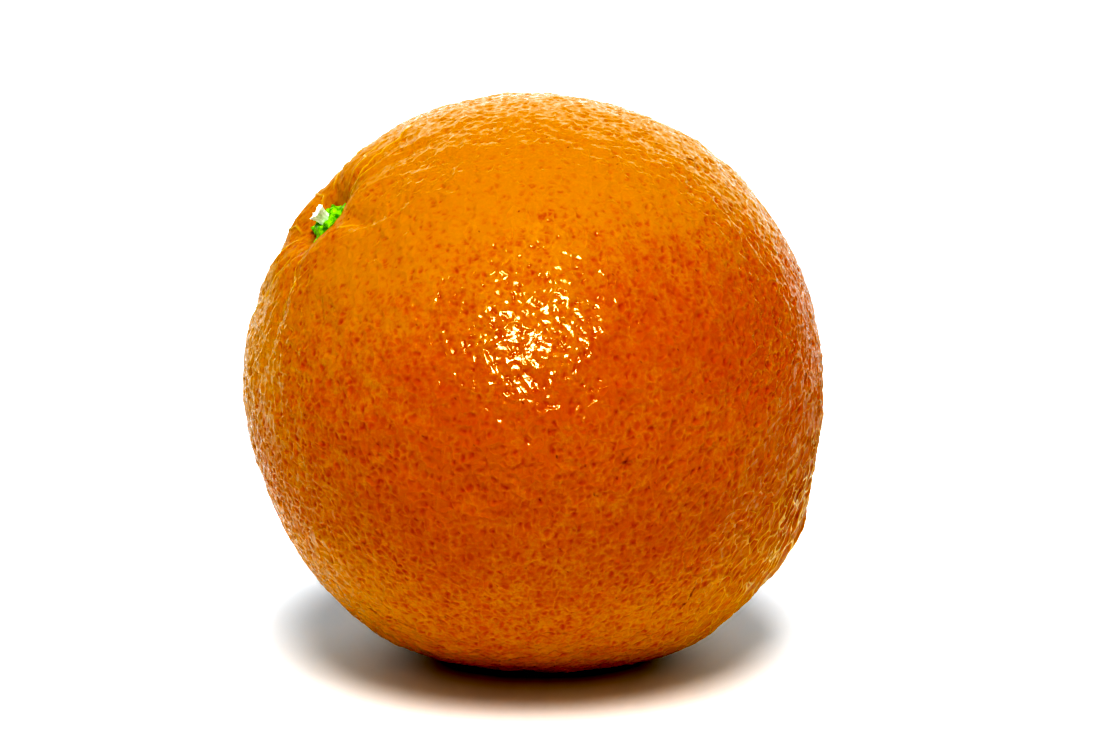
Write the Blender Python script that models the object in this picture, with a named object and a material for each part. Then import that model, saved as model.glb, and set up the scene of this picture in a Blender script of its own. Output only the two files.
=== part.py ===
"""A fresh orange lying on its side: the fruit, with the green calyx and the cut stalk in its stem dimple.

Metres, +Z up. The origin is on the surface that the orange rests on, under the middle of its box.
"""

import math

import bmesh
import bpy
import numpy as np

MM = 0.001

# --- driving dimensions ---
BODY_RADIUS = 38.1 * MM
PRESSED_IN = 1.4 * MM  # how far the round underside is flattened where the orange rests
FRUIT_CENTRE = np.array((0.1 * MM, 0.2 * MM, BODY_RADIUS - PRESSED_IN))

STEM_AZIMUTH, STEM_ELEVATION = 196.5, 40  # degrees, from +X towards +Y and above the horizon
NOSE_AZIMUTH, NOSE_ELEVATION = 4, -32

DIMPLE_DEPTH = 2.3 * MM
DIMPLE_RADIUS = 4.6 * MM  # where the dimple has half its depth
DIMPLE_STEEPNESS = 5
SHOULDER_HEIGHT = 0.5 * MM  # the swollen ring round the dimple
SHOULDER_RADIUS = 8.5 * MM
SHOULDER_WIDTH = 4.0 * MM

NOSE_REACH = 26  # degrees from the nose's tip, where its blunt cone meets the round body
NOSE_ROUNDING = 4  # degrees over which the cone's tip is rounded

# The body isn't a true ball: each swelling is azimuth, elevation, height and spread, in degrees and mm.
SWELLINGS = (
    (-17, -51, 2.0, 20),
    (198, -54, 0.7, 18),
    (0, -90, -0.6, 22),
    (187, -25, -0.6, 16),
    (178, 2, 0.3, 18),
    (200, 40, -0.9, 26),
    (156, 62, 0.5, 20),
    (12, 44, 0.3, 30),
    (60, 10, -0.5, 40),
    (-100, 20, 0.3, 45),
)

# The furrows that run out from the dimple: heading round the stem and bend in degrees, depth, width and
# reach in mm.
FURROWS = (
    (8, 10, 0.45, 1.5, 17),
    (38, -6, 0.60, 1.7, 21),
    (66, 8, 0.40, 1.3, 14),
    (104, -18, 0.55, 1.6, 17),
    (128, 14, 0.60, 1.5, 20),
    (160, 25, 0.70, 1.8, 22),
    (203, 4, 0.45, 1.4, 15),
    (222, 7, 0.60, 1.6, 20),
    (251, -8, 0.40, 1.3, 14),
    (285, 6, 0.55, 1.8, 20),
    (318, -5, 0.50, 1.5, 18),
    (341, 3, 0.35, 1.2, 13),
)
FURROW_START = 5.0 * MM  # how far from the stem axis the furrows have their full depth
FURROW_ONSET = 4  # the higher, the more suddenly they begin there
FURROW_FADING = 3  # the higher, the more suddenly they end at their reach

CALYX_GAP = 0.4 * MM  # above the dimple's floor
CALYX_RADIUS = 3.1 * MM
CALYX_LOBES = 5
LOBE_LENGTH = 0.75 * MM
LOBE_FULLNESS = 0.7  # below 1 the lobes are broad, above it they are narrow
CALYX_THICKNESS = 1.0 * MM
CALYX_EDGE_THICKNESS = 0.45 * MM

STUB_GAP = 0.3 * MM  # above the calyx
STUB_RADIUS = 1.05 * MM
STUB_FLARE = 1.2  # its torn top's radius over its foot's
STUB_HEIGHT = 1.7 * MM
STUB_RAGGEDNESS = 0.22 * MM
STUB_TEETH = ((3, 0, 1.0), (7, 1, 0.6))  # teeth round the torn rim, turn in radians and share of raggedness
STUB_FACE_DIP = 0.15  # of the stub's height, in the middle of its torn face
STUB_PROFILE = (  # share of the height, width over the foot's, and share of raggedness
    (0.0, 1.0, 0.0),
    (0.35, 0.9, 0.0),
    (0.75, 1.0, 0.3),
    (1.0, STUB_FLARE, 1.0),
)

# --- how finely each piece is divided, and how it is shaded ---
FRUIT_SEGMENTS = 60
FRUIT_RINGS = 42
RING_CROWDING = 0.6  # 0 spaces the rings evenly, 1 crowds them all to the two ends
CALYX_SEGMENTS = 40
CALYX_RINGS = 6
STUB_SEGMENTS = 18
SMOOTH_ANGLE = 60  # degrees; sharper edges stay crisp


def direction(azimuth, elevation):
    """The unit direction at this azimuth and elevation, in degrees."""
    turn, rise = math.radians(azimuth), math.radians(elevation)
    return np.array(
        (math.cos(turn) * math.cos(rise), math.sin(turn) * math.cos(rise), math.sin(rise))
    )


STEM_AXIS = direction(STEM_AZIMUTH, STEM_ELEVATION)
STEM_SIDE = direction(STEM_AZIMUTH + 90, 0)  # square to the stem axis, and level
STEM_DOWN = np.cross(STEM_AXIS, STEM_SIDE)  # square to both
NOSE_AXIS = direction(NOSE_AZIMUTH, NOSE_ELEVATION)


def stem_direction(angle, heading):
    """Unit directions at an angle from the stem axis and a heading round it, in radians."""
    angle, heading = np.broadcast_arrays(angle, heading)
    level = np.cos(heading)[..., None] * STEM_DOWN + np.sin(heading)[..., None] * STEM_SIDE
    return np.cos(angle)[..., None] * STEM_AXIS + np.sin(angle)[..., None] * level


def angle_between(directions, axis):
    """The angle from an axis to each unit direction, in radians."""
    return np.arccos(np.clip(directions @ axis, -1, 1))


def swelling_height(directions):
    """How far the broad swellings and flats move the skin out from the ball."""
    height = np.zeros(len(directions))
    for azimuth, elevation, swell, spread in SWELLINGS:
        away = angle_between(directions, direction(azimuth, elevation))
        height += swell * MM * np.exp(-((away / math.radians(spread)) ** 2))
    return height


def nose_height(directions):
    """How far the blunt cone at the blossom end stands out from the ball."""
    reach = math.radians(NOSE_REACH)
    away = np.hypot(angle_between(directions, NOSE_AXIS), math.radians(NOSE_ROUNDING))
    return BODY_RADIUS * (1 / np.cos(np.clip(reach - away, 0, reach)) - 1)


def dimple_height(arc):
    """The height of the stem dimple and its shoulder, by the distance along the skin from the stem axis."""
    floor = -DIMPLE_DEPTH / (1 + (arc / DIMPLE_RADIUS) ** DIMPLE_STEEPNESS)
    shoulder = SHOULDER_HEIGHT * np.exp(-(((arc - SHOULDER_RADIUS) / SHOULDER_WIDTH) ** 2))
    return floor + shoulder


def furrow_height(arc, heading):
    """The height of the furrows that run out from the dimple and fade over the shoulder."""
    height = np.zeros(len(arc))
    begin = 1 - np.exp(-((arc / FURROW_START) ** FURROW_ONSET))
    for start, bend, depth, width, reach in FURROWS:
        line = math.radians(start) + math.radians(bend) * arc / SHOULDER_RADIUS
        off_line = np.angle(np.exp(1j * (heading - line)))
        across = arc * np.sin(np.clip(off_line, -math.pi / 2, math.pi / 2)) / (width * MM)
        along = begin * np.exp(-((arc / (reach * MM)) ** FURROW_FADING))
        height -= depth * MM * along * np.exp(-(across**2))
    return height


def skin_distance(directions):
    """The distance from the fruit's centre to its skin along each unit direction."""
    arc = BODY_RADIUS * angle_between(directions, STEM_AXIS)
    heading = np.arctan2(directions @ STEM_SIDE, directions @ STEM_DOWN)
    return (
        BODY_RADIUS
        + swelling_height(directions)
        + nose_height(directions)
        + dimple_height(arc)
        + furrow_height(arc, heading)
    )


def skin_point(angle, heading, above=0.0):
    """The point on the skin, or above it, at an angle from the stem axis and a heading round it."""
    directions = stem_direction(np.atleast_1d(angle), np.atleast_1d(heading))
    return FRUIT_CENTRE + (skin_distance(directions) + above)[:, None] * directions


def new_object(name, mesh, colour, roughness):
    """A named object for the mesh, shaded smooth, in a material of its own."""
    made = bpy.data.meshes.new(name)
    bmesh.ops.recalc_face_normals(mesh, faces=mesh.faces)
    mesh.to_mesh(made)
    mesh.free()
    made.shade_smooth()
    made.set_sharp_from_angle(angle=math.radians(SMOOTH_ANGLE))
    material = bpy.data.materials.new(name)
    material.use_nodes = True
    shader = material.node_tree.nodes["Principled BSDF"]
    shader.inputs["Base Color"].default_value = (*colour, 1)
    shader.inputs["Roughness"].default_value = roughness
    shader.inputs["Metallic"].default_value = 0
    made.materials.append(material)
    placed = bpy.data.objects.new(name, made)
    bpy.context.scene.collection.objects.link(placed)
    return placed


def bridge_rings(mesh, rings):
    """Joins each closed ring of vertices to the next with faces."""
    for ring, following in zip(rings, rings[1:]):
        for i, corner in enumerate(ring):
            j = (i + 1) % len(ring)
            mesh.faces.new((corner, ring[j], following[j], following[i]))


def ring_of(mesh, points):
    return [mesh.verts.new(point) for point in points]


def fruit():
    """The whole fruit: rings round the stem axis from the dimple to the far side, cut flat underneath."""
    mesh = bmesh.new()
    headings = np.linspace(0, 2 * math.pi, FRUIT_SEGMENTS, endpoint=False)
    steps = np.linspace(0, 1, FRUIT_RINGS + 2)[1:-1]
    angles = math.pi * (steps - RING_CROWDING * np.sin(2 * math.pi * steps) / (2 * math.pi))
    rings = [ring_of(mesh, skin_point(angle, headings)) for angle in angles]
    bridge_rings(mesh, rings)
    for ring, pole in ((rings[0], 0.0), (rings[-1], math.pi)):
        middle = mesh.verts.new(skin_point(pole, 0.0)[0])
        for i, corner in enumerate(ring):
            mesh.faces.new((middle, corner, ring[(i + 1) % len(ring)]))
    cut = bmesh.ops.bisect_plane(
        mesh,
        geom=mesh.verts[:] + mesh.edges[:] + mesh.faces[:],
        plane_co=(0, 0, 0),
        plane_no=(0, 0, -1),
        clear_outer=True,
    )
    rim = [item for item in cut["geom_cut"] if isinstance(item, bmesh.types.BMEdge)]
    bmesh.ops.contextual_create(mesh, geom=rim)
    return new_object("fruit", mesh, colour=(0.80, 0.26, 0.01), roughness=0.35)


def calyx():
    """The lobed green button on the dimple's floor, thinner at its edge than in the middle."""
    mesh = bmesh.new()
    headings = np.linspace(0, 2 * math.pi, CALYX_SEGMENTS, endpoint=False)
    outline = CALYX_RADIUS + LOBE_LENGTH * np.abs(np.cos(CALYX_LOBES * headings / 2)) ** LOBE_FULLNESS
    shares = np.linspace(0, 1, CALYX_RINGS + 1)[1:]
    under = []
    over = []
    for share in shares:
        angles = share * outline / BODY_RADIUS
        thickness = CALYX_THICKNESS + (CALYX_EDGE_THICKNESS - CALYX_THICKNESS) * share**2
        under.append(ring_of(mesh, skin_point(angles, headings, CALYX_GAP)))
        over.append(ring_of(mesh, skin_point(angles, headings, CALYX_GAP + thickness)))
    bridge_rings(mesh, [*under, *reversed(over)])
    for ring in (under[0], over[0]):
        mesh.faces.new(ring)
    return new_object("calyx", mesh, colour=(0.22, 0.50, 0.03), roughness=0.5)


def stem_stub():
    """The short pale end of the stalk, standing on the calyx, with a flared, ragged top."""
    mesh = bmesh.new()
    headings = np.linspace(0, 2 * math.pi, STUB_SEGMENTS, endpoint=False)
    round_it = np.cos(headings)[:, None] * STEM_DOWN + np.sin(headings)[:, None] * STEM_SIDE
    foot = skin_point(0.0, 0.0, CALYX_GAP + CALYX_THICKNESS + STUB_GAP)[0]
    ragged = sum(
        share * STUB_RAGGEDNESS * np.sin(teeth * headings + turn) for teeth, turn, share in STUB_TEETH
    )
    rings = []
    for share, width, torn in STUB_PROFILE:
        height = share * STUB_HEIGHT + torn * ragged
        points = foot + width * STUB_RADIUS * round_it + height[:, None] * STEM_AXIS
        rings.append(ring_of(mesh, points))
    bridge_rings(mesh, rings)
    mesh.faces.new(rings[0])
    middle = mesh.verts.new(foot + (1 - STUB_FACE_DIP) * STUB_HEIGHT * STEM_AXIS)
    for i, corner in enumerate(rings[-1]):
        mesh.faces.new((middle, corner, rings[-1][(i + 1) % STUB_SEGMENTS]))
    return new_object("stem_stub", mesh, colour=(0.78, 0.80, 0.66), roughness=0.7)


def main():
    for startup_object in list(bpy.data.objects):
        bpy.data.objects.remove(startup_object)
    fruit()
    calyx()
    stem_stub()


main()
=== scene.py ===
"""The looks of the orange: its pitted, waxy peel, the green calyx and the torn end of the stalk."""

import math

import bpy
import numpy as np
from mathutils import Matrix, Vector


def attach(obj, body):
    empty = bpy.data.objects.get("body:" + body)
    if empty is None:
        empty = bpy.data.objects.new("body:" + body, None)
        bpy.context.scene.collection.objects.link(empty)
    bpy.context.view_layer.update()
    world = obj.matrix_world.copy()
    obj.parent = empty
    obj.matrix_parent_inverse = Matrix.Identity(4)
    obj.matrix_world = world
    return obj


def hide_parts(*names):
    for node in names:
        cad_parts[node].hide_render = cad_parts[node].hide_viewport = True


MM = 0.001

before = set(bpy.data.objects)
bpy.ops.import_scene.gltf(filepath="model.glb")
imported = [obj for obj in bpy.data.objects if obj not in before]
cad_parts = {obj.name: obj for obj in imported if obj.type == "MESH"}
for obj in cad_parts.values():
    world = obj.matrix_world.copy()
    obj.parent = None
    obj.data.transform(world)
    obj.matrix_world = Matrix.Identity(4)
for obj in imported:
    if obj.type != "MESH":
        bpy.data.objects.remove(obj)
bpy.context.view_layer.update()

# --- the fruit's shape, as in the CAD model but for the first furrow ---
BODY_RADIUS = 38.1 * MM
PRESSED_IN = 1.4 * MM
FRUIT_CENTRE = np.array((0.1 * MM, 0.2 * MM, BODY_RADIUS - PRESSED_IN))
STEM_AZIMUTH, STEM_ELEVATION = 196.5, 40  # degrees
NOSE_AZIMUTH, NOSE_ELEVATION = 4, -32
DIMPLE_DEPTH = 2.3 * MM
DIMPLE_RADIUS = 4.6 * MM
DIMPLE_STEEPNESS = 5
SHOULDER_HEIGHT = 0.5 * MM
SHOULDER_RADIUS = 8.5 * MM
SHOULDER_WIDTH = 4.0 * MM
NOSE_REACH = 26  # degrees
NOSE_ROUNDING = 4  # degrees
SWELLINGS = (  # azimuth, elevation, height in mm and spread in degrees
    (-17, -51, 2.0, 20),
    (198, -54, 0.7, 18),
    (0, -90, -0.6, 22),
    (187, -25, -0.6, 16),
    (178, 2, 0.3, 18),
    (200, 40, -0.9, 26),
    (156, 62, 0.5, 20),
    (12, 44, 0.3, 30),
    (60, 10, -0.5, 40),
    (-100, 20, 0.3, 45),
)
FURROWS = (  # heading and bend in degrees, depth, width and reach in mm
    (8, 2, 0.60, 1.5, 17),  # straighter and deeper than in the CAD model
    (38, -6, 0.60, 1.7, 21),
    (66, 8, 0.40, 1.3, 14),
    (104, -18, 0.55, 1.6, 17),
    (128, 14, 0.60, 1.5, 20),
    (160, 25, 0.70, 1.8, 22),
    (203, 4, 0.45, 1.4, 15),
    (222, 7, 0.60, 1.6, 20),
    (251, -8, 0.40, 1.3, 14),
    (285, 6, 0.55, 1.8, 20),
    (318, -5, 0.50, 1.5, 18),
    (341, 3, 0.35, 1.2, 13),
)
FURROW_START = 5.0 * MM  # how far from the stem axis the furrows have their full depth
FURROW_ONSET = 4  # the higher, the more suddenly they begin there
FURROW_FADING = 3  # the higher, the more suddenly they end at their reach

# --- the peel: a coarse net of thin crests, and a finer one with a pit in each mesh ---
GRID_CELLS = 300  # quads along each of the six patches that cover the fruit
MAP_MARGIN = 0.006  # round each patch, as a share of its place in the map
CREST_SPACING = 2.0 * MM  # the mesh size of the coarse net
CREST_HEIGHT = 0.055 * MM
CREST_WIDTH = 0.10  # in mesh sizes
CREST_UNEVENNESS = 0.45  # of their height, from place to place
CREST_PATCH = 3.5 * MM  # the size of such a place
CREST_LIMITS = (0.15, 2)  # of their height
NOSE_CREST_GAIN = 4.4  # of their height, added at the nose
PIT_SPACING = 1.15 * MM  # the mesh size of the fine net
PIT_DEPTH = 0.105 * MM  # of a middling pit
PIT_WIDTH = 0.33  # in mesh sizes
SHALLOWEST_PIT = 0.4  # of the depth; the deepest has one whole depth more
HOLLOW = 0.35  # how deep the whole mesh lies under its ridges, of a pit's depth
RIDGE_REACH = 0.4  # how far a ridge slopes into its mesh, in mesh sizes
NOSE_PIT_LOSS = 0.5  # how much of the pits' depth is missing at the nose
STEM_SMOOTHING = 0.75  # how much of the relief is missing at the stem
RIPPLES = (  # the skin's gentle unevenness: height and wavelength in mm, and random seed
    (0.008, 0.9, 29),
    (0.024, 1.6, 30),
    (0.036, 3.2, 31),
    (0.05, 6.5, 32),
    (0.07, 15, 33),
)
SWEEP = 0.12  # how far the nets are bent, in mesh sizes
SWEEP_LENGTH = 1.1  # the wavelength of those bends, in mesh sizes
NET_UNEVENNESS = 0.85  # 0 makes every mesh alike, 1 makes them as uneven as can be
NOSE_STRETCH = 0.34  # radians: how far the nets' meshes are stretched round the nose
NOSE_STRETCH_REACH = 1.2  # radians
NOSE_COARSE_REACH = 24 * MM
FOLD_HEIGHT = 0.17 * MM
FOLD_WIDTH = 0.16 * MM
FOLD_ONSET = 1.5  # mm over which a fold rises, and
FOLD_FADING = 5  # mm over which it sinks again
FOLD_WANDER = 0.5 * MM  # how far the folds stray from their lines
FOLD_WANDER_LENGTH = 6 * MM  # about how far it is from one such bend to the next
FOLD_KINK = 0.12 * MM  # the same for their small kinks
FOLD_KINK_LENGTH = 2 * MM
FOLD_HEADING_AT = 10  # mm from the stem
FOLDS = (  # thin raised lines: their heading there, bend in degrees per mm, start and end in mm
    (22, 1.2, 3.5, 13.0),
    (5, -1.8, 6.5, 21.0),
    (350, -0.8, 5.5, 16.0),
    (86, -4.0, 8.5, 14.5),
    (112, 3.0, 4.5, 9.0),
    (143, 1.2, 5.0, 19.0),
    (188, 1.6, 6.0, 20.0),
    (214, -1.0, 5.0, 14.0),
    (248, 1.5, 5.5, 17.0),
    (283, -1.2, 5.0, 15.0),
    (318, 1.4, 6.0, 18.0),
)
STEM_REACH = 13 * MM  # inside this the skin is smoother between the furrows
REST_SOFTNESS = 0.35 * MM  # how gently the flat underside meets the round body
TINY = 1e-9  # keeps the nose's own point from being divided by nothing

# --- the picture ---
LENS = 90  # mm, on a 36 mm sensor
CAMERA_ELEVATION = 12
CAMERA_DISTANCE = 0.364
PICTURE_MIDDLE = (2.2 * MM, 2.4 * MM)  # to the right of the fruit's centre, and above it
BLACK_LEVEL = (0.10, 0.10, 0.11)
GAMMA = 0.65  # with the black level, it deepens the colours and whitens the floor


def direction(azimuth, elevation):
    """The unit direction at this azimuth and elevation, in degrees."""
    turn, rise = math.radians(azimuth), math.radians(elevation)
    return np.array(
        (math.cos(turn) * math.cos(rise), math.sin(turn) * math.cos(rise), math.sin(rise))
    )


STEM_AXIS = direction(STEM_AZIMUTH, STEM_ELEVATION)
STEM_SIDE = direction(STEM_AZIMUTH + 90, 0)  # square to the stem axis, and level
STEM_DOWN = np.cross(STEM_AXIS, STEM_SIDE)  # square to both
NOSE_AXIS = direction(NOSE_AZIMUTH, NOSE_ELEVATION)


def angle_between(directions, axis):
    return np.arccos(np.clip(directions @ axis, -1, 1))


def swelling_height(directions):
    """The broad bumps and flats that make the fruit a little less than round."""
    height = np.zeros(len(directions))
    for azimuth, elevation, swell, spread in SWELLINGS:
        away = angle_between(directions, direction(azimuth, elevation))
        height += swell * MM * np.exp(-((away / math.radians(spread)) ** 2))
    return height


def nose_height(directions):
    """The blunt nose at the blossom end: a rounded cone that touches the ball all round."""
    reach = math.radians(NOSE_REACH)
    away = np.hypot(angle_between(directions, NOSE_AXIS), math.radians(NOSE_ROUNDING))
    return BODY_RADIUS * (1 / np.cos(np.clip(reach - away, 0, reach)) - 1)


def dimple_height(arc):
    """The dimple round the stem, and the soft shoulder round it."""
    floor = -DIMPLE_DEPTH / (1 + (arc / DIMPLE_RADIUS) ** DIMPLE_STEEPNESS)
    shoulder = SHOULDER_HEIGHT * np.exp(-(((arc - SHOULDER_RADIUS) / SHOULDER_WIDTH) ** 2))
    return floor + shoulder


def furrow_height(arc, heading):
    """The furrows that run out from the stem, as heights below the smooth skin."""
    height = np.zeros(len(arc))
    for depth, across, along in furrow_lines(arc, heading):
        height -= depth * MM * along * np.exp(-(across**2))
    return height


def furrow_lines(arc, heading):
    """Each furrow's depth in mm, the distance across it in its widths, and its strength along it."""
    begin = 1 - np.exp(-((arc / FURROW_START) ** FURROW_ONSET))
    for start, bend, depth, width, reach in FURROWS:
        line = math.radians(start) + math.radians(bend) * arc / SHOULDER_RADIUS
        off_line = np.angle(np.exp(1j * (heading - line)))
        across = arc * np.sin(np.clip(off_line, -math.pi / 2, math.pi / 2)) / (width * MM)
        yield depth, across, begin * np.exp(-((arc / (reach * MM)) ** FURROW_FADING))


def fold_strength(directions):
    """How near each point is to the crest of a thin fold that runs out from the stem, from 0 to 1."""
    arc, heading = stem_arc_and_heading(directions)
    points = directions * BODY_RADIUS
    kinks = FOLD_KINK * ripples(points, FOLD_KINK_LENGTH, 91)
    strength = np.zeros(len(arc))
    for number, (middle, bend, start, end) in enumerate(FOLDS):
        line = math.radians(middle) + math.radians(bend) * (arc / MM - FOLD_HEADING_AT)
        wander = FOLD_WANDER * ripples(points, FOLD_WANDER_LENGTH, 71 + number) + kinks
        off_line = np.angle(np.exp(1j * (heading - line)))
        across = (arc * np.clip(off_line, -1, 1) + wander) / FOLD_WIDTH
        rising = smooth_step(arc, start * MM, (start + FOLD_ONSET) * MM)
        fading = smooth_step(-arc, -end * MM, (FOLD_FADING - end) * MM)
        strength = np.maximum(strength, rising * fading * np.exp(-(across**2)))
    return strength


def stem_arc_and_heading(directions):
    """The distance along the skin from the stem axis, and the heading round it in radians."""
    arc = BODY_RADIUS * angle_between(directions, STEM_AXIS)
    return arc, np.arctan2(directions @ STEM_SIDE, directions @ STEM_DOWN)


def skin_distance(directions):
    """The distance from the fruit's centre to its smooth skin along each unit direction."""
    arc, heading = stem_arc_and_heading(directions)
    return (
        BODY_RADIUS
        + swelling_height(directions)
        + nose_height(directions)
        + dimple_height(arc)
        + furrow_height(arc, heading)
    )


def stem_direction(angle, heading):
    """Unit directions at an angle from the stem axis and a heading round it, in radians."""
    angle, heading = np.broadcast_arrays(angle, heading)
    level = np.cos(heading)[..., None] * STEM_DOWN + np.sin(heading)[..., None] * STEM_SIDE
    return np.cos(angle)[..., None] * STEM_AXIS + np.sin(angle)[..., None] * level


def skin_point(angle, heading, above=0.0):
    """Points on the smooth skin near the stem, or above it."""
    directions = stem_direction(np.atleast_1d(angle), np.atleast_1d(heading))
    return FRUIT_CENTRE + (skin_distance(directions) + above)[:, None] * directions


def ripples(points, wavelength, seed, waves=36):
    """A smooth random field of about unit strength: many plane waves of about one wavelength."""
    random = np.random.default_rng(seed)
    headings = random.normal(size=(waves, points.shape[1]))
    headings /= np.linalg.norm(headings, axis=1)[:, None]
    lengths = wavelength * random.uniform(0.7, 1.4, waves)
    phases = random.uniform(0, 2 * math.pi, waves)
    field = np.zeros(len(points))
    for heading, length, phase in zip(headings, lengths, phases):
        field += np.sin(points @ heading * (2 * math.pi / length) + phase)
    return field * math.sqrt(2 / waves)


def smooth_step(value, low, high):
    """Goes smoothly from 0 to 1 while the value goes from low to high."""
    share = np.clip((value - low) / (high - low), 0, 1)
    return share * share * (3 - 2 * share)


# --- meshes ---


def mesh_object(name, points, faces, uv=None):
    """A smooth object of quads or triangles, given as arrays, with a map for baking if uv holds one."""
    mesh = bpy.data.meshes.new(name)
    corners = faces.shape[1]
    mesh.vertices.add(len(points))
    mesh.vertices.foreach_set("co", points.astype(np.float32).ravel())
    mesh.loops.add(faces.size)
    mesh.loops.foreach_set("vertex_index", faces.astype(np.int32).ravel())
    mesh.polygons.add(len(faces))
    mesh.polygons.foreach_set("loop_start", np.arange(0, faces.size, corners, dtype=np.int32))
    mesh.update(calc_edges=True)
    mesh.shade_smooth()
    if uv is not None:
        mesh.uv_layers.new(name="OFBake").uv.foreach_set("vector", uv.astype(np.float32).ravel())
    placed = bpy.data.objects.new(name, mesh)
    bpy.context.scene.collection.objects.link(placed)
    return placed


def closed_rings(name, rings):
    """A closed solid of rings of points, from the middle of its underside to the middle of its top."""
    count = len(rings[0])
    points = np.concatenate([rings[0].mean(0)[None], *rings, rings[-1].mean(0)[None]])
    steps = np.arange(count)
    after = (steps + 1) % count
    faces = []
    for level in range(len(rings) - 1):
        low = 1 + level * count
        faces += [
            np.stack([low + steps, low + after, low + count + after], 1),
            np.stack([low + steps, low + count + after, low + count + steps], 1),
        ]
    last = len(points) - 1
    top = last - count
    faces.append(np.stack([np.zeros_like(steps), 1 + after, 1 + steps], 1))
    faces.append(np.stack([np.full_like(steps, last), top + steps, top + after], 1))
    return mesh_object(name, points, np.concatenate(faces))


def normals_of(mesh):
    found = np.empty(len(mesh.vertices) * 3, np.float32)
    mesh.vertex_normals.foreach_get("vector", found)
    return found.reshape(-1, 3)


def set_attribute(mesh, name, values):
    """Stores a number or a vector for every point of a mesh."""
    kind, field = ("FLOAT", "value") if values.ndim == 1 else ("FLOAT_VECTOR", "vector")
    stored = mesh.attributes.new(name, kind, "POINT").data
    stored.foreach_set(field, values.astype(np.float32).ravel())


def ball_grid(cells):
    """Unit directions, quads and map places of six square patches that cover a ball."""
    steps = np.arange(cells + 1)
    u, v = (grid.ravel() for grid in np.meshgrid(steps, steps, indexing="ij"))
    lattices = []
    patches = []
    maps = []
    corner = (steps[:-1, None] * (cells + 1) + steps[None, :-1]).ravel()
    quad = np.stack([corner, corner + cells + 1, corner + cells + 2, corner + 1], 1)
    for number in range(6):
        axis, far = divmod(number, 2)
        lattice = np.empty((len(u), 3), np.int64)
        lattice[:, axis] = far * cells
        lattice[:, (axis + 1) % 3] = u
        lattice[:, (axis + 2) % 3] = v
        lattices.append(lattice)
        patches.append((quad if far else quad[:, ::-1]) + number * len(u))
        share = np.stack([u, v], 1) / cells * (1 - 2 * MAP_MARGIN) + MAP_MARGIN
        maps.append((share + (number % 3, number // 3)) / (3, 2))
    lattice = np.concatenate(lattices)
    code = lattice @ ((cells + 1) ** 2, cells + 1, 1)
    _, first, shared = np.unique(code, return_index=True, return_inverse=True)
    faces = np.concatenate(patches)
    points = np.tan(math.pi / 4 * (2 * lattice[first] / cells - 1))
    points /= np.linalg.norm(points, axis=1)[:, None]
    return points, shared.reshape(-1)[faces], np.concatenate(maps)[faces].reshape(-1, 2)


# --- the peel ---


def net_places(directions, mesh_size, seed):
    """Where each point of the skin lies in a net, in mesh sizes: its meshes are long round the nose."""
    angle = angle_between(directions, NOSE_AXIS)
    level = directions - np.cos(angle)[:, None] * NOSE_AXIS
    level /= np.linalg.norm(level, axis=1)[:, None] + TINY
    fade = np.exp(-((angle / NOSE_STRETCH_REACH) ** 2))
    angle = angle - NOSE_STRETCH * (1 - np.exp(-angle / NOSE_STRETCH)) * fade
    moved = np.cos(angle)[:, None] * NOSE_AXIS + np.sin(angle)[:, None] * level
    places = moved * (BODY_RADIUS / mesh_size)
    bends = [ripples(places, SWEEP_LENGTH, seed + axis) for axis in range(3)]
    return places + SWEEP * np.stack(bends, 1)


def nose_coarseness(directions):
    """How coarse the skin is, from 0 to 1 at the nose."""
    arc = BODY_RADIUS * angle_between(directions, NOSE_AXIS)
    return np.exp(-((arc / NOSE_COARSE_REACH) ** 2))


def stem_nearness(directions):
    """From 0 to 1 at the stem."""
    arc = BODY_RADIUS * angle_between(directions, STEM_AXIS)
    return np.exp(-((arc / STEM_REACH) ** 4))


def net_nodes(tree, places):
    """Reads a net: the distance to its nearest ridge and to the pit, and the mesh's own number."""
    inputs = {"Vector": tree.attribute(places, "Vector"), "Scale": 1.0, "Randomness": NET_UNEVENNESS}
    edge = tree.node("ShaderNodeTexVoronoi", inputs, feature="DISTANCE_TO_EDGE")
    cell = tree.node("ShaderNodeTexVoronoi", inputs, feature="F1")
    own = tree.node("ShaderNodeSeparateXYZ", {"Vector": cell.outputs["Color"]})
    return edge.outputs["Distance"], cell.outputs["Distance"], own.outputs["X"]


def net_of(placed, places):
    """The same three readings at every point of a mesh that has its places in the net."""
    group = bpy.data.node_groups.new("net", "GeometryNodeTree")
    group.interface.new_socket("Geometry", in_out="INPUT", socket_type="NodeSocketGeometry")
    group.interface.new_socket("Geometry", in_out="OUTPUT", socket_type="NodeSocketGeometry")
    tree = GeometryTree(group)
    edge, pit, own = net_nodes(tree, places)
    reading = tree.node("ShaderNodeCombineXYZ", {"X": edge, "Y": pit, "Z": own})
    source = tree.node("NodeGroupInput")
    inputs = {
        "Geometry": source.outputs["Geometry"],
        "Name": "net_reading",
        "Value": reading.outputs["Vector"],
    }
    stored = tree.node("GeometryNodeStoreNamedAttribute", inputs, data_type="FLOAT_VECTOR")
    tree.node("NodeGroupOutput", {"Geometry": stored.outputs["Geometry"]})
    modifier = placed.modifiers.new("net", "NODES")
    modifier.node_group = group
    evaluated = placed.evaluated_get(bpy.context.evaluated_depsgraph_get()).data
    readings = np.empty(len(evaluated.vertices) * 3, np.float32)
    evaluated.attributes["net_reading"].data.foreach_get("vector", readings)
    placed.modifiers.remove(modifier)
    bpy.data.node_groups.remove(group)
    return readings.reshape(-1, 3).T


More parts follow.
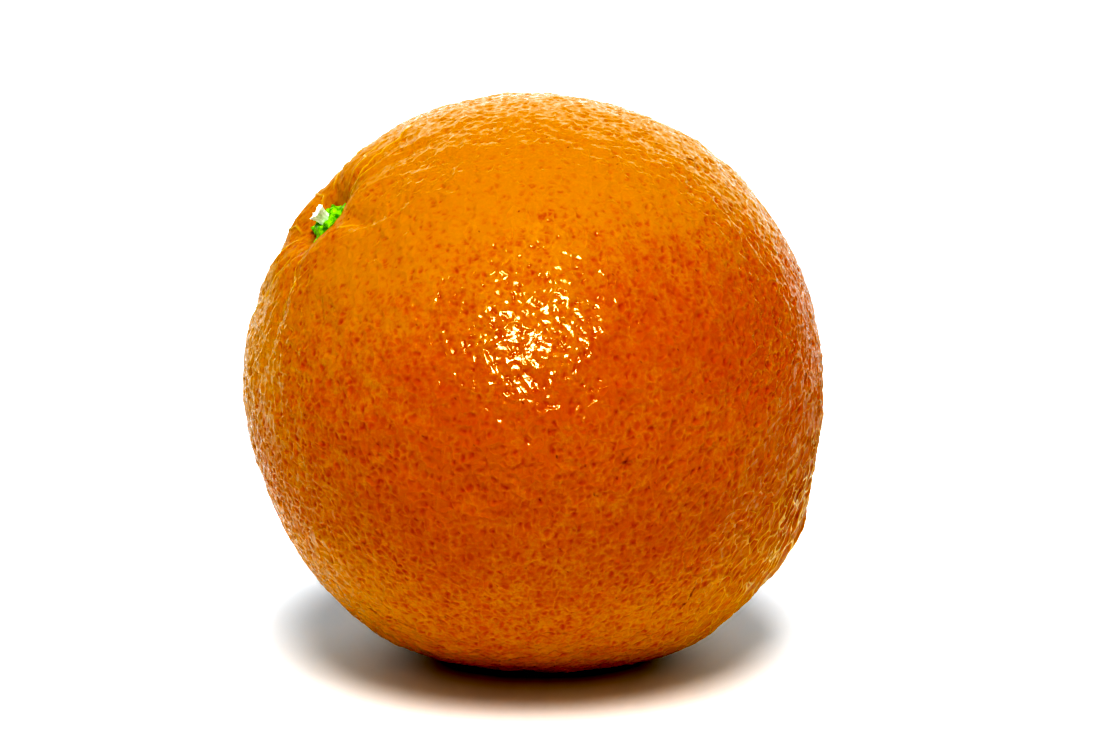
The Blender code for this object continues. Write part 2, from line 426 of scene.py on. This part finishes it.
def peel_relief(directions, crest_net, pit_net, folds):
    """The height of the crests, pits, folds and broader ripples on the smooth skin."""
    crest_edge, _, _ = crest_net
    pit_edge, pit, own = pit_net
    coarse, stem = nose_coarseness(directions), stem_nearness(directions)
    points = directions * BODY_RADIUS
    waves = np.zeros(len(points))
    for height, wavelength, seed in RIPPLES:
        waves += height * MM * ripples(points, wavelength * MM, seed)
    uneven = np.clip(1 + CREST_UNEVENNESS * ripples(points, CREST_PATCH, 34), *CREST_LIMITS)
    crest_height = CREST_HEIGHT * (uneven + NOSE_CREST_GAIN * coarse)
    crests = crest_height * np.exp(-((crest_edge / CREST_WIDTH) ** 2))
    hollows = HOLLOW * PIT_DEPTH * smooth_step(pit_edge, 0, RIDGE_REACH)
    pits = PIT_DEPTH * (SHALLOWEST_PIT + own) * np.exp(-((pit / PIT_WIDTH) ** 2))
    nets = crests - (1 - NOSE_PIT_LOSS * coarse) * (hollows + pits)
    return waves + (1 - STEM_SMOOTHING * stem) * nets + FOLD_HEIGHT * folds


def rest_on_floor(points):
    """Presses the underside flat, and rounds it gently into the body."""
    low = points[:, 2]
    points[:, 2] = 0.5 * (low + np.sqrt(low**2 + REST_SOFTNESS**2))
    return points


def peel():
    """The whole skin of the fruit, with every pit in its mesh."""
    directions, faces, uv = ball_grid(GRID_CELLS)
    smooth = rest_on_floor(FRUIT_CENTRE + skin_distance(directions)[:, None] * directions)
    made = mesh_object("peel", smooth, faces, uv)
    set_attribute(made.data, "crest_place", net_places(directions, CREST_SPACING, 25))
    set_attribute(made.data, "pit_place", net_places(directions, PIT_SPACING, 41))
    folds = fold_strength(directions)
    relief = peel_relief(directions, net_of(made, "crest_place"), net_of(made, "pit_place"), folds)
    points = smooth + relief[:, None] * normals_of(made.data)
    points[:, 2] = np.maximum(points[:, 2], 0.0)
    made.data.vertices.foreach_set("co", points.astype(np.float32).ravel())
    made.data.update()
    set_attribute(made.data, "folds", folds)
    set_attribute(made.data, "coarse", nose_coarseness(directions))
    set_attribute(made.data, "stem", stem_nearness(directions))
    set_attribute(made.data, "painted_light_and_shade", painted_light_and_shade(directions))
    set_attribute(made.data, "scar", scar_strength(directions))
    return made


# --- the small marks on the skin, and where light and shade are painted into its colour ---
SCARS = (  # azimuth and elevation of one end, then of the other, in degrees, and half width in mm
    (-27.2, 54.8, -25.2, 54.2, 0.22),
    (-50.8, -31.4, -51.2, -34.8, 0.10),
    (-51.3, -35.4, -52.2, -38.0, 0.08),
    (-73.2, -2.4, -72.8, -2.3, 0.30),
    (-133.9, -41.0, -133.5, -40.9, 0.25),
    (3.5, -32, 4.5, -32, 0.60),
    (62, 25, 66, 26, 0.20),
    (118, -10, 119, -14, 0.18),
)
SCAR_RAGGEDNESS = 0.35
SCAR_GRAIN = 0.8 * MM
# The first of these is where the painted light on top is strongest; the second is a patch below the stem
# that is painted yellower as a painted sheen.
PAINTED_LIGHT_TOP = direction(130, 66)
PAINTED_SHEEN_PATCH = direction(195, -25)


def scar_strength(directions):
    """How much of a dry brown mark there is at each point, from 0 to 1."""
    strength = np.zeros(len(directions))
    ragged = 1 + SCAR_RAGGEDNESS * ripples(directions * BODY_RADIUS, SCAR_GRAIN, 81)
    for start_azimuth, start_elevation, end_azimuth, end_elevation, half_width in SCARS:
        start = direction(start_azimuth, start_elevation)
        line = direction(end_azimuth, end_elevation) - start
        share = np.clip((directions - start) @ line / (line @ line), 0, 1)
        away = np.linalg.norm(directions - start - share[:, None] * line, axis=1) * BODY_RADIUS
        strength = np.maximum(strength, np.exp(-((away * ragged / (half_width * MM)) ** 2)))
    return strength


def painted_light_and_shade(directions):
    """How yellow the skin is painted: yellower on top as painted light, also underneath as painted light
    from the floor and at a patch below the stem as a painted sheen, least in front; redder round the
    stem as painted shade.
    """
    top = smooth_step(directions @ PAINTED_LIGHT_TOP, -0.25, 0.75)
    underneath = smooth_step(-directions[:, 2], 0.2, 0.8)
    patch = smooth_step(directions @ PAINTED_SHEEN_PATCH, 0.7, 1.0)
    return 0.05 + (top - 0.5 * stem_nearness(directions)) + 0.48 * underneath + 0.3 * patch


# --- the calyx and the stalk ---
SEPALS = (  # heading and half width in degrees, reach past the button and curl in mm
    (20, 30, 0.9, 0.10),
    (92, 34, 1.3, 0.45),
    (160, 30, 1.0, 0.20),
    (236, 33, 1.2, 0.55),
    (305, 32, 1.1, 0.15),
)
BUTTON_RADIUS = 2.7 * MM
BUTTON_DOME = 0.55 * MM  # how much thicker its middle is than its edge
EDGE_THICKNESS = 0.22 * MM
THINNEST = 0.12 * MM
CALYX_GAP = 0.05 * MM  # above the smooth skin
COLLAR_RADIUS = 1.75 * MM
COLLAR_WIDTH = 0.65 * MM
COLLAR_HEIGHT = 0.75 * MM
LOBE_SHARPNESS = 1.2  # below 1 the lobes are broad, above it they are narrow
CURL_START = 0.55  # of the way out to the edge
LUMP_HEIGHT = 0.10 * MM
LUMP_LENGTH = 1.5 * MM
GRAIN_HEIGHT = 0.02 * MM
GRAIN_LENGTH = 0.6 * MM
CALYX_POINTS = 200  # round each ring
CALYX_RINGS = 44


def calyx():
    """The fused sepals: a lumpy green button with a collar round the stalk and five curled lobes."""
    headings = np.linspace(0, 2 * math.pi, CALYX_POINTS, endpoint=False)
    lobe = np.zeros_like(headings)
    curl = np.zeros_like(headings)
    for heading, half_width, reach, lift in SEPALS:
        off = np.abs(np.angle(np.exp(1j * (headings - math.radians(heading)))))
        tip = np.clip(1 - off / math.radians(half_width), 0, 1) ** LOBE_SHARPNESS
        lobe += reach * MM * tip
        curl += lift * MM * tip
    around = np.stack([np.cos(headings), np.sin(headings)], 1)
    outline = BUTTON_RADIUS + lobe + LUMP_HEIGHT * ripples(around * 3, 1.6, 51)
    under = []
    over = []
    for share in np.linspace(0.02, 1, CALYX_RINGS):
        out = share * outline
        angles = out / BODY_RADIUS
        lift = curl * smooth_step(share, CURL_START, 1.0)
        spot = np.stack([out * np.cos(headings), out * np.sin(headings)], 1)
        lumps = LUMP_HEIGHT * ripples(spot, LUMP_LENGTH, 52)
        lumps += GRAIN_HEIGHT * ripples(spot, GRAIN_LENGTH, 53)
        collar = COLLAR_HEIGHT * np.exp(-(((out - COLLAR_RADIUS) / COLLAR_WIDTH) ** 2))
        thick = EDGE_THICKNESS + BUTTON_DOME * (1 - share**2) + collar + lumps * (1 - share**6)
        low = CALYX_GAP + lift
        under.append(skin_point(angles, headings, low))
        over.append(skin_point(angles, headings, low + np.clip(thick, THINNEST, None)))
    return closed_rings("calyx_sepals", [*under, *reversed(over)])


STALK_RADIUS = 0.93 * MM
STALK_FOOT = 0.2 * MM  # above the smooth skin, inside the calyx
STALK_HEIGHT = 2.5 * MM  # above its foot
STALK_LEAN = 0.10  # sideways, as a share of its height
STALK_WAIST = 0.12  # how much narrower it is half way up
STALK_FLARE = 0.22  # how much wider it is at the rim
STAR_POINTS = 5
STAR_TURN = 0.6  # radians
STAR_DEPTH = 0.09  # of the radius
STALK_UNEVENNESS = 0.05  # of the radius
STALK_GROOVES = 0.015  # of the radius
TORN_HEIGHT = 0.13 * MM
TORN_GRAIN = 0.03 * MM
FACE_DIP = 0.05 * MM
FIBRE_HEIGHT = 0.025 * MM
STALK_POINTS = 120  # round each ring
STALK_RINGS = 26
FACE_RINGS = 12


def stalk():
    """The cut end of the stalk, waisted, with a torn and flared rim round its fibrous face."""
    headings = np.linspace(0, 2 * math.pi, STALK_POINTS, endpoint=False)
    around = np.stack([np.cos(headings), np.sin(headings)], 1)
    level = around[:, :1] * STEM_DOWN + around[:, 1:] * STEM_SIDE
    star = 1 + STAR_DEPTH * np.cos(STAR_POINTS * headings + STAR_TURN)
    star += STALK_UNEVENNESS * ripples(around * 3, 1.4, 61)
    torn = TORN_HEIGHT * ripples(around * 3, 2.4, 62) + TORN_GRAIN * ripples(around * 3, 0.9, 63)
    foot = skin_point(0.0, 0.0, STALK_FOOT)[0]
    lean = STEM_AXIS + STALK_LEAN * STEM_SIDE
    rings = []
    for share in np.linspace(0, 1, STALK_RINGS):
        flare = 1 - STALK_WAIST * math.sin(math.pi * share) + STALK_FLARE * share**5
        up_the_stalk = np.column_stack([around * 6, np.full(STALK_POINTS, share)])
        grain = 1 + STALK_GROOVES * ripples(up_the_stalk, 0.7, 64)
        height = share * STALK_HEIGHT + torn * share**4
        out = STALK_RADIUS * star * flare * grain
        rings.append(foot + out[:, None] * level + height[:, None] * lean)
    for share in np.linspace(0.92, 0.04, FACE_RINGS):
        dip = FACE_DIP * (1 - share**4)
        fibres = FIBRE_HEIGHT * ripples(around * share * 5, 0.6, 65)
        height = STALK_HEIGHT + torn * share**2 - dip + fibres
        out = STALK_RADIUS * (1 + STALK_FLARE) * share * (1 + (star - 1) * share)
        rings.append(foot + out[:, None] * level + height[:, None] * lean)
    return closed_rings("stalk_end", rings)


# --- materials ---


class Tree:
    """Adds nodes to one node tree, and links any input that is given a socket."""

    def __init__(self, tree):
        self.tree = tree

    def node(self, kind, inputs=None, **settings):
        made = self.tree.nodes.new(kind)
        for name, value in settings.items():
            setattr(made, name, value)
        for name, value in (inputs or {}).items():
            if isinstance(value, bpy.types.NodeSocket):
                self.tree.links.new(value, made.inputs[name])
            else:
                made.inputs[name].default_value = value
        return made

    def attribute(self, name, kind="Fac"):
        return self.node("ShaderNodeAttribute", attribute_name=name).outputs[kind]

    def maths(self, operation, first, *others):
        """Joins two or more values by one operation, from the left."""
        for other in others:
            made = self.node("ShaderNodeMath", {0: first, 1: other}, operation=operation)
            first = made.outputs[0]
        return first

    def noise(self, wavelength, detail=3.0, roughness=0.55):
        """Noise over the object's own space, with its wavelength in metres."""
        place = self.node("ShaderNodeTexCoord").outputs["Object"]
        inputs = {"Vector": place, "Scale": 1 / wavelength, "Detail": detail, "Roughness": roughness}
        return self.node("ShaderNodeTexNoise", inputs).outputs["Fac"]

    def swing(self, noise, amount):
        """A noise, spread from minus the amount to plus it."""
        return self.ramp(noise, 0.3, 0.7, -amount, amount)

    def ramp(self, value, low, high, to_low=0.0, to_high=1.0):
        """Goes smoothly from one value to the other while the input goes from low to high."""
        inputs = {
            "Value": value,
            "From Min": low,
            "From Max": high,
            "To Min": to_low,
            "To Max": to_high,
        }
        made = self.node("ShaderNodeMapRange", inputs, interpolation_type="SMOOTHSTEP")
        return made.outputs["Result"]

    def mix(self, factor, first, second):
        made = self.node("ShaderNodeMix", {0: factor}, data_type="RGBA")
        for socket, value in ((made.inputs[6], first), (made.inputs[7], second)):
            if isinstance(value, bpy.types.NodeSocket):
                self.tree.links.new(value, socket)
            else:
                socket.default_value = (*value, 1)
        return made.outputs[2]


class GeometryTree(Tree):
    """The same for a geometry node tree."""

    def attribute(self, name, kind="Vector"):
        inputs = {"Name": name}
        made = self.node("GeometryNodeInputNamedAttribute", inputs, data_type="FLOAT_VECTOR")
        return made.outputs["Attribute"]


def new_material(name):
    """A material, its tree and its Principled shader."""
    material = bpy.data.materials.new(name)
    material.use_nodes = True
    return material, Tree(material.node_tree), material.node_tree.nodes["Principled BSDF"]


def connect(tree, shader, **sockets):
    """Links sockets to the shader's inputs, named with underscores for spaces."""
    for name, socket in sockets.items():
        tree.tree.links.new(socket, shader.inputs[name.replace("_", " ")])


YELLOW_ORANGE = (0.54, 0.256, 0.013)
RED_ORANGE = (0.475, 0.137, 0.008)
PIT_ORANGE = (0.415, 0.085, 0.005)
# the next colour is a painted highlight, for the tops of the crests and folds
PAINTED_HIGHLIGHT_ORANGE = (0.72, 0.52, 0.09)
SCAR_BROWN = (0.19, 0.055, 0.010)
PEEL_GRAIN = 0.014 * MM
WAX_ROUGHNESS = 0.13
WAX_IOR = 1.46


def peel_material():
    """Red-orange pits in a mottled skin, painted yellower as painted light and redder as painted shade,
    with a painted highlight along the crests and folds; waxed most on the ridges.
    """
    material, tree, shader = new_material("orange_peel")
    crest_edge, _, crest_own = net_nodes(tree, "crest_place")
    pit_edge, pit, pit_own = net_nodes(tree, "pit_place")
    coarse, stem, folds = (tree.attribute(name) for name in ("coarse", "stem", "folds"))
    speckle = tree.noise(0.5 * MM, 2.0)

    # The painted light and shade on the skin comes in from the attribute; the noises and the ridges
    # between the pits add the skin's own uneven tone.
    yellow = tree.maths(
        "ADD",
        tree.attribute("painted_light_and_shade"),
        tree.swing(tree.noise(16 * MM, 2.0), 0.1),
        tree.swing(tree.noise(2.6 * MM, 4.0), 0.16),
        tree.swing(speckle, 0.15),
        tree.ramp(pit_edge, 0.0, 0.25, 0.16, 0.0),
    )
    skin = tree.mix(tree.ramp(yellow, 0.0, 1.0), RED_ORANGE, YELLOW_ORANGE)
    in_pit = tree.maths(
        "MULTIPLY",
        tree.ramp(pit, 0.05, 0.5, 1.0, 0.0),
        tree.ramp(pit_own, 0.0, 1.0, 0.45, 1.0),
        tree.ramp(yellow, 0.2, 1.0, 0.9, 0.35),
    )
    colour = tree.mix(in_pit, skin, PIT_ORANGE)
    crest = tree.maths(
        "MULTIPLY",
        tree.ramp(crest_edge, 0.0, 0.8 * CREST_WIDTH, 1.0, 0.0),
        tree.ramp(crest_own, 0.0, 1.0, 0.5, 1.0),
    )
    # Painted highlight: the crests, most of all at the nose, and the folds are painted paler orange
    # along their tops.
    painted_crest_highlight = tree.maths("MULTIPLY", crest, tree.ramp(coarse, 0.0, 0.7, 0.03, 0.85))
    pale = tree.maths("MAXIMUM", painted_crest_highlight, tree.maths("MULTIPLY", folds, 0.8))
    colour = tree.mix(pale, colour, PAINTED_HIGHLIGHT_ORANGE)
    scar = tree.maths("MULTIPLY", tree.attribute("scar"), tree.ramp(speckle, 0.3, 0.6, 0.5, 1.0))
    colour = tree.mix(scar, colour, SCAR_BROWN)

    ridge = tree.maths(
        "MULTIPLY",
        tree.ramp(pit_edge, 0.03, 0.2, 1.0, 0.0),
        tree.ramp(coarse, 0.1, 0.7, 1.0, 0.15),
        tree.maths("SUBTRACT", 1.0, stem),
    )
    nose_crest = tree.maths("MULTIPLY", crest, tree.ramp(coarse, 0.1, 0.6))
    between = tree.ramp(stem, 0.0, 1.0, 0.4, 0.25)
    waxed = tree.maths("MAXIMUM", folds, ridge, nose_crest, between)
    wax = tree.maths("MULTIPLY", waxed, tree.ramp(scar, 0.2, 0.9, 1.0, 0.1))
    roughness = tree.maths("ADD", tree.ramp(pit, 0.0, 0.4, 0.55, 0.42), tree.swing(speckle, 0.05))

    grain = tree.maths("MULTIPLY", tree.noise(0.4 * MM, 3.0, 0.6), PEEL_GRAIN)
    height = tree.maths("ADD", tree.maths("MULTIPLY", crest, 0.2 * CREST_HEIGHT), grain)
    bump = tree.node("ShaderNodeBump", {"Strength": 1.0, "Distance": 1.0, "Height": height})
    normal = bump.outputs["Normal"]
    shader.inputs["Specular IOR Level"].default_value = 0.0
    shader.inputs["Coat Roughness"].default_value = WAX_ROUGHNESS
    shader.inputs["Coat IOR"].default_value = WAX_IOR
    connect(
        tree,
        shader,
        Base_Color=colour,
        Roughness=roughness,
        Coat_Weight=wax,
        Normal=normal,
        Coat_Normal=normal,
    )
    return material


# The darker green is painted shade and the yellow-green is painted highlight; noise places both.
PAINTED_SHADE_GREEN = (0.075, 0.27, 0.010)
BRIGHT_GREEN = (0.33, 0.70, 0.03)
PAINTED_HIGHLIGHT_GREEN = (0.55, 0.72, 0.10)


def calyx_material():
    """Bright green, with darker green placed by noise as painted shade, and small yellow-green flecks on
    its bumps as painted highlights.
    """
    material, tree, shader = new_material("green_calyx")
    lumps = tree.noise(0.9 * MM, 3.0)
    flecks = tree.noise(0.3 * MM, 2.0)
    # painted shade: darker green where the lumps noise is low
    green = tree.mix(tree.ramp(lumps, 0.35, 0.65), PAINTED_SHADE_GREEN, BRIGHT_GREEN)
    # painted highlight: yellow-green flecks where the bump is highest
    colour = tree.mix(tree.ramp(flecks, 0.52, 0.72, 0.0, 0.6), green, PAINTED_HIGHLIGHT_GREEN)
    bump = tree.node("ShaderNodeBump", {"Strength": 0.5, "Distance": 0.05 * MM, "Height": flecks})
    roughness = tree.ramp(lumps, 0.3, 0.7, 0.4, 0.6)
    connect(tree, shader, Base_Color=colour, Roughness=roughness, Normal=bump.outputs["Normal"])
    return material


FIBRE_SHADE = (0.72, 0.78, 0.64)
FIBRE_WHITE = (0.95, 0.96, 0.92)


def stalk_material():
    """Dry and nearly white, with fine fibres."""
    material, tree, shader = new_material("cut_stalk")
    fibre = tree.noise(0.35 * MM, 4.0, 0.65)
    colour = tree.mix(tree.ramp(fibre, 0.3, 0.62), FIBRE_SHADE, FIBRE_WHITE)
    bump = tree.node("ShaderNodeBump", {"Strength": 0.6, "Distance": 0.06 * MM, "Height": fibre})
    roughness = tree.ramp(fibre, 0.3, 0.7, 0.65, 0.85)
    connect(tree, shader, Base_Color=colour, Roughness=roughness, Normal=bump.outputs["Normal"])
    return material


def dress(piece, node, material):
    """Gives a piece its material, and puts it in the place of its CAD node."""
    piece.data.materials.append(material)
    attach(piece, "root")
    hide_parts(node)


# --- floor, light and camera ---
FLOOR_SIDE = 4.0
FLOOR_DROP = 0.02 * MM  # below the fruit's flat spot
FLOOR_COLOUR = (0.95, 0.95, 0.96)
TENT_COLOUR = (0.73, 0.89, 1.0)
TENT_FRONT = 0.72  # strength behind the camera
TENT_SIDES = 0.25
TENT_BACK = 2.1  # more than the sides, behind the fruit
OVERHEAD_COLOUR = (1.0, 0.975, 0.94)
OVERHEAD_AIM = (-88, 69)  # azimuth and elevation
OVERHEAD_ENERGY = 4.35
OVERHEAD_SPREAD = 30  # degrees: how big it looks
KEY_COLOUR = (1.0, 0.92, 0.62)
KEY_AIM = (-91, 30)
KEY_ENERGY = 5.6
KEY_SIZE = 0.15
LIGHT_DISTANCE = 0.6  # from the fruit's centre


def floor():
    """A plain pale floor just under the fruit."""
    corners = np.array([(-1, -1), (1, -1), (1, 1), (-1, 1)]) * FLOOR_SIDE / 2
    points = np.column_stack([corners, np.full(4, -FLOOR_DROP)])
    made = mesh_object("floor", points, np.array([[0, 1, 2, 3]]))
    material, _, shader = new_material("pale_floor")
    shader.inputs["Base Color"].default_value = (*FLOOR_COLOUR, 1)
    shader.inputs["Roughness"].default_value = 0.6
    made.data.materials.append(material)


def aimed_light(name, kind, aim, distance, **settings):
    """A light that faces the fruit's centre."""
    light = bpy.data.lights.new(name, kind)
    for setting, value in settings.items():
        setattr(light, setting, value)
    placed = bpy.data.objects.new(name, light)
    towards = Vector(direction(*aim))
    placed.location = Vector(FRUIT_CENTRE) + distance * towards
    placed.rotation_euler = towards.to_track_quat("Z", "Y").to_euler()
    bpy.context.scene.collection.objects.link(placed)
    return placed


def studio():
    """A tent that is bright behind the fruit, a soft light overhead and a small one for the glints."""
    world = bpy.data.worlds.new("studio")
    world.use_nodes = True
    bpy.context.scene.world = world
    tree = Tree(world.node_tree)
    background = world.node_tree.nodes["Background"]
    toward = tree.node("ShaderNodeTexCoord").outputs["Generated"]
    parts = tree.node("ShaderNodeSeparateXYZ", {"Vector": toward})
    front = tree.ramp(parts.outputs["Y"], -0.7, -0.1, TENT_FRONT, TENT_SIDES)
    back = tree.ramp(parts.outputs["Y"], 0.52, 0.78, 0.0, TENT_BACK)
    strength = tree.maths("ADD", front, back)
    world.node_tree.links.new(strength, background.inputs["Strength"])
    background.inputs["Color"].default_value = (*TENT_COLOUR, 1)
    overhead = aimed_light(
        "overhead",
        "SUN",
        OVERHEAD_AIM,
        LIGHT_DISTANCE,
        energy=OVERHEAD_ENERGY,
        angle=math.radians(OVERHEAD_SPREAD),
        color=OVERHEAD_COLOUR,
    )
    overhead.visible_glossy = False
    key = aimed_light(
        "key",
        "AREA",
        KEY_AIM,
        LIGHT_DISTANCE,
        energy=KEY_ENERGY,
        shape="DISK",
        size=KEY_SIZE,
        color=KEY_COLOUR,
    )
    key.visible_diffuse = False


def camera():
    """Looks at the fruit from the front and a little above, with its middle a little off centre."""
    lens = bpy.data.cameras.new("camera")
    lens.lens = LENS
    lens.clip_start = 0.01
    placed = bpy.data.objects.new("camera", lens)
    back = Vector(direction(-90, CAMERA_ELEVATION))
    turn = back.to_track_quat("Z", "Y")
    right, up = turn @ Vector((1, 0, 0)), turn @ Vector((0, 1, 0))
    middle = Vector(FRUIT_CENTRE) + PICTURE_MIDDLE[0] * right + PICTURE_MIDDLE[1] * up
    placed.matrix_world = Matrix.Translation(middle + CAMERA_DISTANCE * back) @ turn.to_matrix().to_4x4()
    bpy.context.scene.collection.objects.link(placed)
    bpy.context.scene.camera = placed


dress(peel(), "fruit", peel_material())
dress(calyx(), "calyx", calyx_material())
dress(stalk(), "stem_stub", stalk_material())
floor()
studio()
camera()

view = bpy.context.scene.view_settings
view.view_transform = "Standard"
view.gamma = GAMMA
view.use_curve_mapping = True
view.curve_mapping.black_level = BLACK_LEVEL
view.curve_mapping.update()
